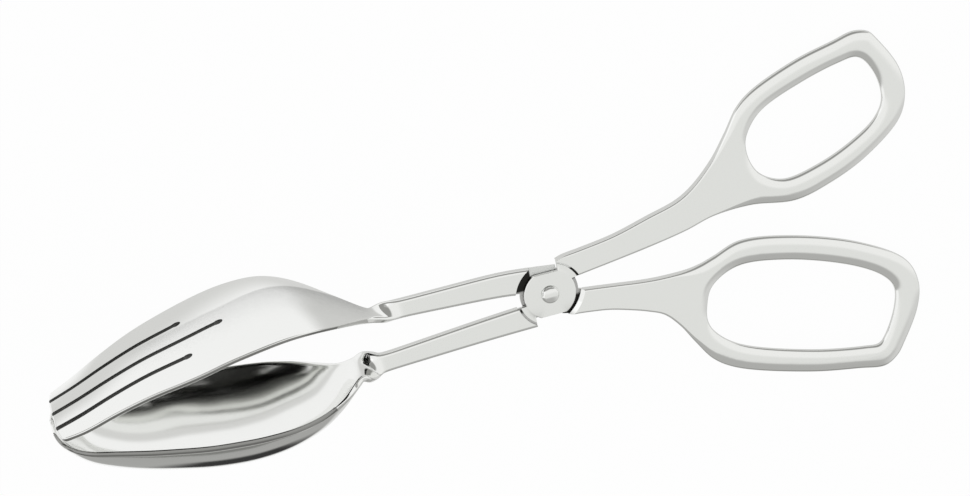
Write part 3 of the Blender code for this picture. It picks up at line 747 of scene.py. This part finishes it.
def lever(name, outlines, loop_start, strap, side, near_gap, finish):
    """Joins blank, hub plate and bowl and laps the hub; finish gives the polished steel and the cut faces'
    steel with painted shade.
    """
    def rounding(point):
        share = ease(loop_start * LOOP_ROUNDING_FROM, loop_start * LOOP_ROUNDING_FULL, point.x)
        buried = mix(HUB_EDGE_SHARE, 1.0, ease(HUB_RADIUS * HUB_EDGE_FROM, HUB_RADIUS, point.x))
        return [mix(a, b, share) * buried for a, b in zip(STEM_ROUNDING, LOOP_ROUNDING)]

    polished, cut = finish
    body = blank(name, outlines, PLATE, rounding)
    body.data.materials.append(polished)
    radius = HUB_RADIUS if side > 0 else REAR_HUB_RADIUS
    thickness = PLATE - HUB_RECESS * 2 + HUB_PROUD
    hub = blank(name + '_hub', [hub_outline(radius)], thickness, lambda point: HUB_ROUNDING)
    join(body, hub, 'UNION', polished)
    join(body, strap, 'UNION')
    cut_lap(body, name, side, near_gap, polished, cut)
    cut_recess(body, name, side, radius, polished, cut)
    bore = RIVET_SHANK / 2 + RIVET_CLEARANCE / 2
    through = [(0, -PLATE), (bore, -PLATE), (bore, PLATE), (0, PLATE)]
    join(body, turned(name + '_bore', through), 'DIFFERENCE', cut)
    return settled(body)


def spoon_lever():
    """The upper loop, its stem, the front hub plate and the spoon."""
    outlines = handle_outlines(
        UPPER_STEM, UPPER_HOLE_LENGTH, UPPER_HOLE_WIDTH, UPPER_TILT, UPPER_HOLE_RISE, 1,
        UPPER_HOLE_FORM, UPPER_EDGE_FORM, UPPER_STEM_OUTSIDE, UPPER_STEM_INSIDE)
    rows = arm_rows(SPOON_ARM_ROOT, SPOON_TWIST_START, SPOON_ARM_WIDTH, SPOON_ARM_HEIGHT, SPOON_NECK_HEIGHT,
                    SPOON_ROOT_DROP)
    widened = (SPOON_TWIST_END - SPOON_WIDENS_FROM) / (PIVOT_TO_TIP - SPOON_WIDENS_FROM)
    neck_reach = half_width(widened, SPOON_OUTLINE)
    rows += twist_rows(SPOON_TWIST_START, SPOON_TWIST_END, SPOON_NECK_HEIGHT, neck_reach)
    rows += bowl_rows(SPOON_TWIST_END, SPOON_WIDENS_FROM, PIVOT_TO_TIP, SPOON_OUTLINE, SPOON_END,
                      spoon_height)
    # the second steel, for cut faces, carries painted shade
    finish = steel('spoon_steel_polished', 3.0), shaded_cut_steel('spoon_steel_cut_painted_shade')
    # the front rim's steel is darker: painted shade
    rim = steel('spoon_rim_painted_shade', 5.0, tone=RIM_SHADE_TONE)
    strap = sheet('spoon_sheet', rows, finish[0], rim, SPOON_RIM_COLUMNS)
    piece = lever('spoon_lever_polished', outlines, UPPER_STEM, strap, 1, SHOULDER_GAP, finish)
    declare(piece, 'spoon_lever', 'spoon_lever')


def fork_lever():
    """The lower loop, its stem, the rear hub plate and the fork with its slots."""
    outlines = handle_outlines(
        LOWER_STEM, LOWER_HOLE_LENGTH, LOWER_HOLE_WIDTH, LOWER_TILT, LOWER_HOLE_RISE, -1,
        LOWER_HOLE_FORM, LOWER_EDGE_FORM, LOWER_STEM_OUTSIDE, LOWER_STEM_INSIDE)
    tip = PIVOT_TO_TIP - FORK_SHORTER
    rows = arm_rows(FORK_ARM_ROOT, FORK_TWIST_START, FORK_ARM_WIDTH, FORK_ARM_HEIGHT, FORK_NECK_HEIGHT,
                    FORK_ROOT_DROP)
    neck_reach = half_width(0.0, FORK_OUTLINE)
    rows += twist_rows(FORK_TWIST_START, FORK_TWIST_END, FORK_NECK_HEIGHT, neck_reach)
    rows += bowl_rows(FORK_TWIST_END, FORK_TWIST_END, tip, FORK_OUTLINE, FORK_END, fork_height)
    # the second steel, for cut faces, carries painted shade
    finish = steel('fork_steel_polished', 7.0, shaded_inside=True), shaded_cut_steel('fork_steel_cut_painted_shade')
    # the front rim's steel is darker: painted shade
    rim = steel('fork_rim_painted_shade', 9.0, tone=RIM_SHADE_TONE)
    strap = sheet('fork_sheet', rows, finish[0], rim, FORK_RIM_COLUMNS)
    join(strap, slot_cutter('middle_slot', MIDDLE_SLOT_ROOT, 0.0, 0.0), 'DIFFERENCE', finish[1])
    for side in (-1, 1):
        cutter = slot_cutter(f'side_slot_{side}', SIDE_SLOT_ROOT, side * SLOT_PITCH_AT_ROOT,
                             side * SLOT_PITCH_AT_TIP)
        join(strap, cutter, 'DIFFERENCE', finish[1])
    piece = lever('fork_lever_polished', outlines, LOWER_STEM, strap, -1, RUNNING_GAP, finish)
    declare(piece, 'fork_lever', 'fork_lever')


def pivot_rivet():
    """A rivet with a flat-topped button head in front and an upset tail behind."""
    face = PLATE / 2 - HUB_RECESS + UNDER_HEAD_GAP
    top = PLATE / 2 - HUB_RECESS + RIVET_CLEARANCE + RIVET_HEAD_HEIGHT
    height = top - face
    head = [(0.0, top)]
    for k in range(1, RIVET_HEAD_STEPS + 1):
        turn = math.pi / 2 * k / RIVET_HEAD_STEPS
        radius = mix(RIVET_HEAD_FLAT / 2, RIVET_HEAD / 2, math.sin(turn))
        head.append((radius, face + height * math.cos(turn)))
    shank = [(RIVET_SHANK / 2, face), (RIVET_SHANK / 2, -face)]
    tail = [(RIVET_HEAD * width, -face - height * drop) for width, drop in RIVET_TAIL_FORM]
    piece = turned('pivot_rivet_polished', head + shank + tail)
    piece.data.materials.append(steel('rivet_steel_polished', 11.0))
    declare(settled(piece), 'pivot_rivet', 'fork_lever')


def declare(piece, node, body):
    """Hides the plain solid that the piece stands for and attaches the piece to the body it moves with."""
    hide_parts(node)
    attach(piece, body)


def node(tree, kind, **values):
    """A shader node; values that start with in_ go to the sockets of that name, others to its settings."""
    made = tree.nodes.new(kind)
    for name, value in values.items():
        if name.startswith('in_'):
            made.inputs[name[3:].replace('_', ' ')].default_value = value
        else:
            setattr(made, name, value)
    return made


def masked(tree, value, edge):
    """A number that goes smoothly from 0 at the edge's first place to 1 at its second."""
    low, high = edge
    made = node(tree, 'ShaderNodeMapRange', interpolation_type='SMOOTHSTEP',
                in_From_Min=low, in_From_Max=high)
    tree.links.new(value, made.inputs['Value'])
    return made.outputs['Result']


def product(tree, first, second):
    """Two numbers multiplied, so that both masks have to hold."""
    made = node(tree, 'ShaderNodeMath', operation='MULTIPLY')
    tree.links.new(first, made.inputs[0])
    tree.links.new(second, made.inputs[1])
    return made.outputs['Value']


def band(tree, value, edges):
    """1 between two edges and 0 outside them."""
    return product(tree, masked(tree, value, edges[0]), masked(tree, value, edges[1]))


def blend(tree, factor, low, high):
    """A colour between two others, which may be given as colours or as sockets."""
    made = node(tree, 'ShaderNodeMix', data_type='RGBA')
    colour_sockets, colour_result = made.inputs[6:8], made.outputs[2]
    tree.links.new(factor, made.inputs['Factor'])
    for socket, colour in zip(colour_sockets, (low, high)):
        if isinstance(colour, bpy.types.NodeSocket):
            tree.links.new(colour, socket)
        else:
            socket.default_value = (*colour, 1.0)
    return colour_result


def axes(tree, place):
    """x, y and z of a place or a direction."""
    split = node(tree, 'ShaderNodeSeparateXYZ')
    tree.links.new(place, split.inputs['Vector'])
    return [split.outputs[axis] for axis in 'XYZ']


def tongs_axes(tree):
    """x, y and z in the tongs' own plane."""
    place = node(tree, 'ShaderNodeTexCoord')
    turn = node(tree, 'ShaderNodeMapping')
    back = REST.inverted()
    turn.inputs['Location'].default_value = back.translation
    turn.inputs['Rotation'].default_value = back.to_euler()
    tree.links.new(place.outputs['Object'], turn.inputs['Vector'])
    return axes(tree, turn.outputs['Vector'])


def noise(tree, place, scale, detail=2.0):
    """Noise from 0 to 1 at a place; the scale is its number of clouds to the place's unit."""
    made = node(tree, 'ShaderNodeTexNoise', in_Scale=scale, in_Detail=detail)
    tree.links.new(place, made.inputs['Vector'])
    return made.outputs['Fac']


def spread(tree, value, limits):
    """A number from 0 to 1 spread evenly between the limits."""
    low, high = limits
    made = node(tree, 'ShaderNodeMapRange', in_To_Min=low, in_To_Max=high)
    tree.links.new(value, made.inputs['Value'])
    return made.outputs['Result']


def openness(tree, reach, edge):
    """0 where the surface is shut in by others within its reach, 1 where it lies open."""
    around = node(tree, 'ShaderNodeAmbientOcclusion', samples=6, in_Distance=reach)
    return masked(tree, around.outputs['AO'], edge)


def metal(name):
    """A new metal with its node tree and shader."""
    material = bpy.data.materials.new(name)
    material.use_nodes = True
    tree = material.node_tree
    shader = tree.nodes['Principled BSDF']
    shader.inputs['Metallic'].default_value = 1.0
    return material, tree, shader


def steel(name, seed, shaded_inside=False, tone=STEEL_TONE):
    """Polished stainless steel with faint polishing lines along the tongs and painted shade in its crevices.
    """
    material, tree, shader = metal(name)
    link = tree.links.new
    place = node(tree, 'ShaderNodeTexCoord').outputs['Object']
    stretch = node(tree, 'ShaderNodeMapping')
    stretch.inputs['Location'].default_value = (seed, seed, seed)
    stretch.inputs['Scale'].default_value = POLISH_LINES
    link(place, stretch.inputs['Vector'])
    x, _, z = tongs_axes(tree)
    satin = node(tree, 'ShaderNodeMath', operation='MULTIPLY_ADD')
    satin.inputs[1].default_value = BOWL_SATIN
    link(masked(tree, x, BOWL_SATIN_EDGE), satin.inputs[0])
    link(spread(tree, noise(tree, place, POLISH_CLOUDS), POLISH), satin.inputs[2])
    link(satin.outputs['Value'], shader.inputs['Roughness'])
    bump = node(tree, 'ShaderNodeBump', in_Strength=LINE_STRENGTH, in_Distance=LINE_DEPTH)
    link(noise(tree, stretch.outputs['Vector'], 1.0, detail=3.0), bump.inputs['Height'])
    link(bump.outputs['Normal'], shader.inputs['Normal'])
    # painted shade: a darker tone where other surfaces shut the steel in
    crevice_shade = [part * CREVICE_SHADE_SHARE for part in tone]
    tone = blend(tree, openness(tree, CREVICE_SHADE_REACH, CREVICE_SHADE_OPEN), crevice_shade, tone)
    # painted shade on the fork's inside, where the spoon shuts it in
    if shaded_inside:
        bowl = product(tree, masked(tree, x, INSIDE_NECK_EDGE), masked(tree, z, INSIDE_FRONT_EDGE))
        bowl = product(tree, bowl, masked(tree, x, INSIDE_TIP_EDGE))
        shut = masked(tree, openness(tree, INSIDE_REACH, INSIDE_OPEN), (1.0, 0.0))
        tone = blend(tree, product(tree, bowl, shut), tone, INSIDE_SHADE_TONE)
    link(tone, shader.inputs['Base Color'])
    return material


def shaded_cut_steel(name):
    """Sawn and milled faces, dull, with painted shade: dark, with painted light between the arms, at the
    lower left and past a corner of the lap, and less dark in the slots.
    """
    material, tree, shader = metal(name)
    grain = noise(tree, node(tree, 'ShaderNodeTexCoord').outputs['Object'], GRAIN)
    tree.links.new(spread(tree, grain, GRAIN_ROUGHNESS), shader.inputs['Roughness'])
    x, y, _ = tongs_axes(tree)
    # painted shade: the cut faces are dark, varied by the grain
    tone = blend(tree, grain, *GRAIN_AND_SHADE_TONES)
    # painted light on the cut faces at the lower left
    lower_left_light = product(tree, masked(tree, x, LOWER_LEFT_LIGHT_EDGES[0]), masked(tree, y, LOWER_LEFT_LIGHT_EDGES[1]))
    tone = blend(tree, lower_left_light, tone, LOWER_LEFT_LIGHT_TONE)
    # painted light on the cut faces between the arms
    between = product(tree, band(tree, y, BETWEEN_EDGES), masked(tree, x, BETWEEN_FROM))
    tone = blend(tree, between, tone, BETWEEN_LIGHT_TONE)
    # painted shade in the slots, less dark than on the other cut faces
    tone = blend(tree, masked(tree, x, SLOT_EDGE), tone, SLOT_SHADE_TONE)
    corner = [(place - LIT_CORNER_SOFTNESS, place + LIT_CORNER_SOFTNESS) for place in LIT_CORNER_PLACE]
    # painted light on a lapped face past a corner
    lit_corner = product(tree, masked(tree, x, corner[0]), masked(tree, y, corner[1]))
    tree.links.new(blend(tree, lit_corner, tone, LIT_CORNER_TONE), shader.inputs['Base Color'])
    return material


def mirrored_floor_tone(tree):
    """What mirrored rays see of the floor: white, with painted shade in grey patches behind, under and
    before the tongs.
    """
    place = node(tree, 'ShaderNodeTexCoord').outputs['Object']
    x, y, _ = axes(tree, place)
    slant = node(tree, 'ShaderNodeVectorMath', operation='DOT_PRODUCT')
    slant.inputs[1].default_value = UNDER_SLANT
    tree.links.new(place, slant.inputs[0])
    under = product(tree, masked(tree, x, UNDER_FROM), masked(tree, slant.outputs['Value'], UNDER_TO))
    strip = product(tree, band(tree, y, STRIP_EDGES_Y), band(tree, x, STRIP_EDGES_X))
    # painted shade that only mirrored rays see
    tone = blend(tree, band(tree, y, BEHIND_EDGES), WHITE, BEHIND_SHADE_TONE)
    tone = blend(tree, under, tone, UNDER_SHADE_TONE)
    tone = blend(tree, masked(tree, y, FRONT_EDGE), tone, FRONT_SHADE_TONE)
    return blend(tree, strip, tone, STRIP_SHADE_TONE)


def floor_paper():
    """White paper that takes the tongs' shadow and is nearly plain white to the camera."""
    material = bpy.data.materials.new('studio_floor_paper')
    material.use_nodes = True
    tree = material.node_tree
    link = tree.links.new
    shader = tree.nodes['Principled BSDF']
    shader.inputs['Base Color'].default_value = PAPER_TONE
    shader.inputs['Roughness'].default_value = PAPER_ROUGHNESS
    shader.inputs['Specular IOR Level'].default_value = 0.0
    paths = node(tree, 'ShaderNodeLightPath')
    seen = node(tree, 'ShaderNodeMath', operation='MAXIMUM')
    link(paths.outputs['Is Camera Ray'], seen.inputs[0])
    link(paths.outputs['Is Glossy Ray'], seen.inputs[1])
    share = node(tree, 'ShaderNodeMath', operation='MULTIPLY')
    share.inputs[1].default_value = PAPER_GLOW
    link(seen.outputs['Value'], share.inputs[0])
    glow = node(tree, 'ShaderNodeEmission', in_Strength=1.0)
    # mirrored rays see the floor's glow with painted shade
    link(blend(tree, paths.outputs['Is Glossy Ray'], WHITE, mirrored_floor_tone(tree)), glow.inputs['Color'])
    both = node(tree, 'ShaderNodeMixShader')
    link(share.outputs['Value'], both.inputs['Fac'])
    link(shader.outputs['BSDF'], both.inputs[1])
    link(glow.outputs['Emission'], both.inputs[2])
    link(both.outputs['Shader'], tree.nodes['Material Output'].inputs['Surface'])
    return material


def floor():
    """A wide plain floor, a hair below the tongs."""
    corners = [(-1, -1), (1, -1), (1, 1), (-1, 1)]
    mesh = bpy.data.meshes.new('studio_floor')
    mesh.from_pydata([(x * FLOOR_HALF, y * FLOOR_HALF, 0) for x, y in corners], [], [(0, 1, 2, 3)])
    obj = bpy.data.objects.new('studio_floor', mesh)
    bpy.context.scene.collection.objects.link(obj)
    obj.location.z = FLOOR_LEVEL
    mesh.materials.append(floor_paper())


def studio():
    """Soft pale surroundings, grey behind and low in front; the camera sees plain white."""
    world = bpy.data.worlds.new('studio')
    bpy.context.scene.world = world
    world.use_nodes = True
    tree = world.node_tree
    x, y, z = axes(tree, node(tree, 'ShaderNodeTexCoord').outputs['Generated'])
    sky = blend(tree, masked(tree, y, FRONT_SKY_TO_SKY), FRONT_SKY_TONE, SKY_TONE)
    sky = blend(tree, masked(tree, x, LEFT_SKY_EDGE), sky, LEFT_SKY_TONE)
    sky = blend(tree, masked(tree, y, REAR_SKY_EDGE), sky, REAR_SKY_TONE)
    low = blend(tree, masked(tree, z, LOWEST_EDGE), LOW_TONE, LOWEST_TONE)
    low = blend(tree, masked(tree, x, LOW_RIGHT_EDGE), low, LOW_RIGHT_TONE)
    tone = blend(tree, masked(tree, y, LOW_EDGE), sky, low)
    paths = node(tree, 'ShaderNodeLightPath')
    seen = blend(tree, paths.outputs['Is Camera Ray'], tone, WHITE)
    tree.links.new(seen, tree.nodes['Background'].inputs['Color'])


def lamp():
    """A weak soft lamp high up beyond the bowls and behind, turned to the middle of the tongs."""
    light = bpy.data.lights.new('softbox', 'AREA')
    light.shape = 'RECTANGLE'
    light.size, light.size_y = LAMP_SIZE
    light.energy = LAMP_POWER
    obj = bpy.data.objects.new('softbox', light)
    bpy.context.scene.collection.objects.link(obj)
    obj.location = LAMP_PLACE
    obj.rotation_euler = (-Vector(LAMP_PLACE)).to_track_quat('-Z', 'Y').to_euler()


def camera():
    """The photograph's viewpoint: a long lens that looks down on the front of the tongs."""
    data = bpy.data.cameras.new('camera')
    data.sensor_width = CAMERA_SENSOR
    data.lens = CAMERA_LENS
    data.shift_x, data.shift_y = CAMERA_SHIFT
    obj = bpy.data.objects.new('camera', data)
    bpy.context.scene.collection.objects.link(obj)
    turn = Matrix((CAMERA_RIGHT, CAMERA_UP, CAMERA_BACK)).transposed().to_4x4()
    obj.matrix_world = REST @ Matrix.Translation(CAMERA_BACK * CAMERA_DISTANCE) @ turn
    bpy.context.scene.camera = obj


bpy.context.scene.view_settings.view_transform = 'Standard'
spoon_lever()
fork_lever()
pivot_rivet()
floor()
studio()
lamp()
camera()
bpy.context.view_layer.update()
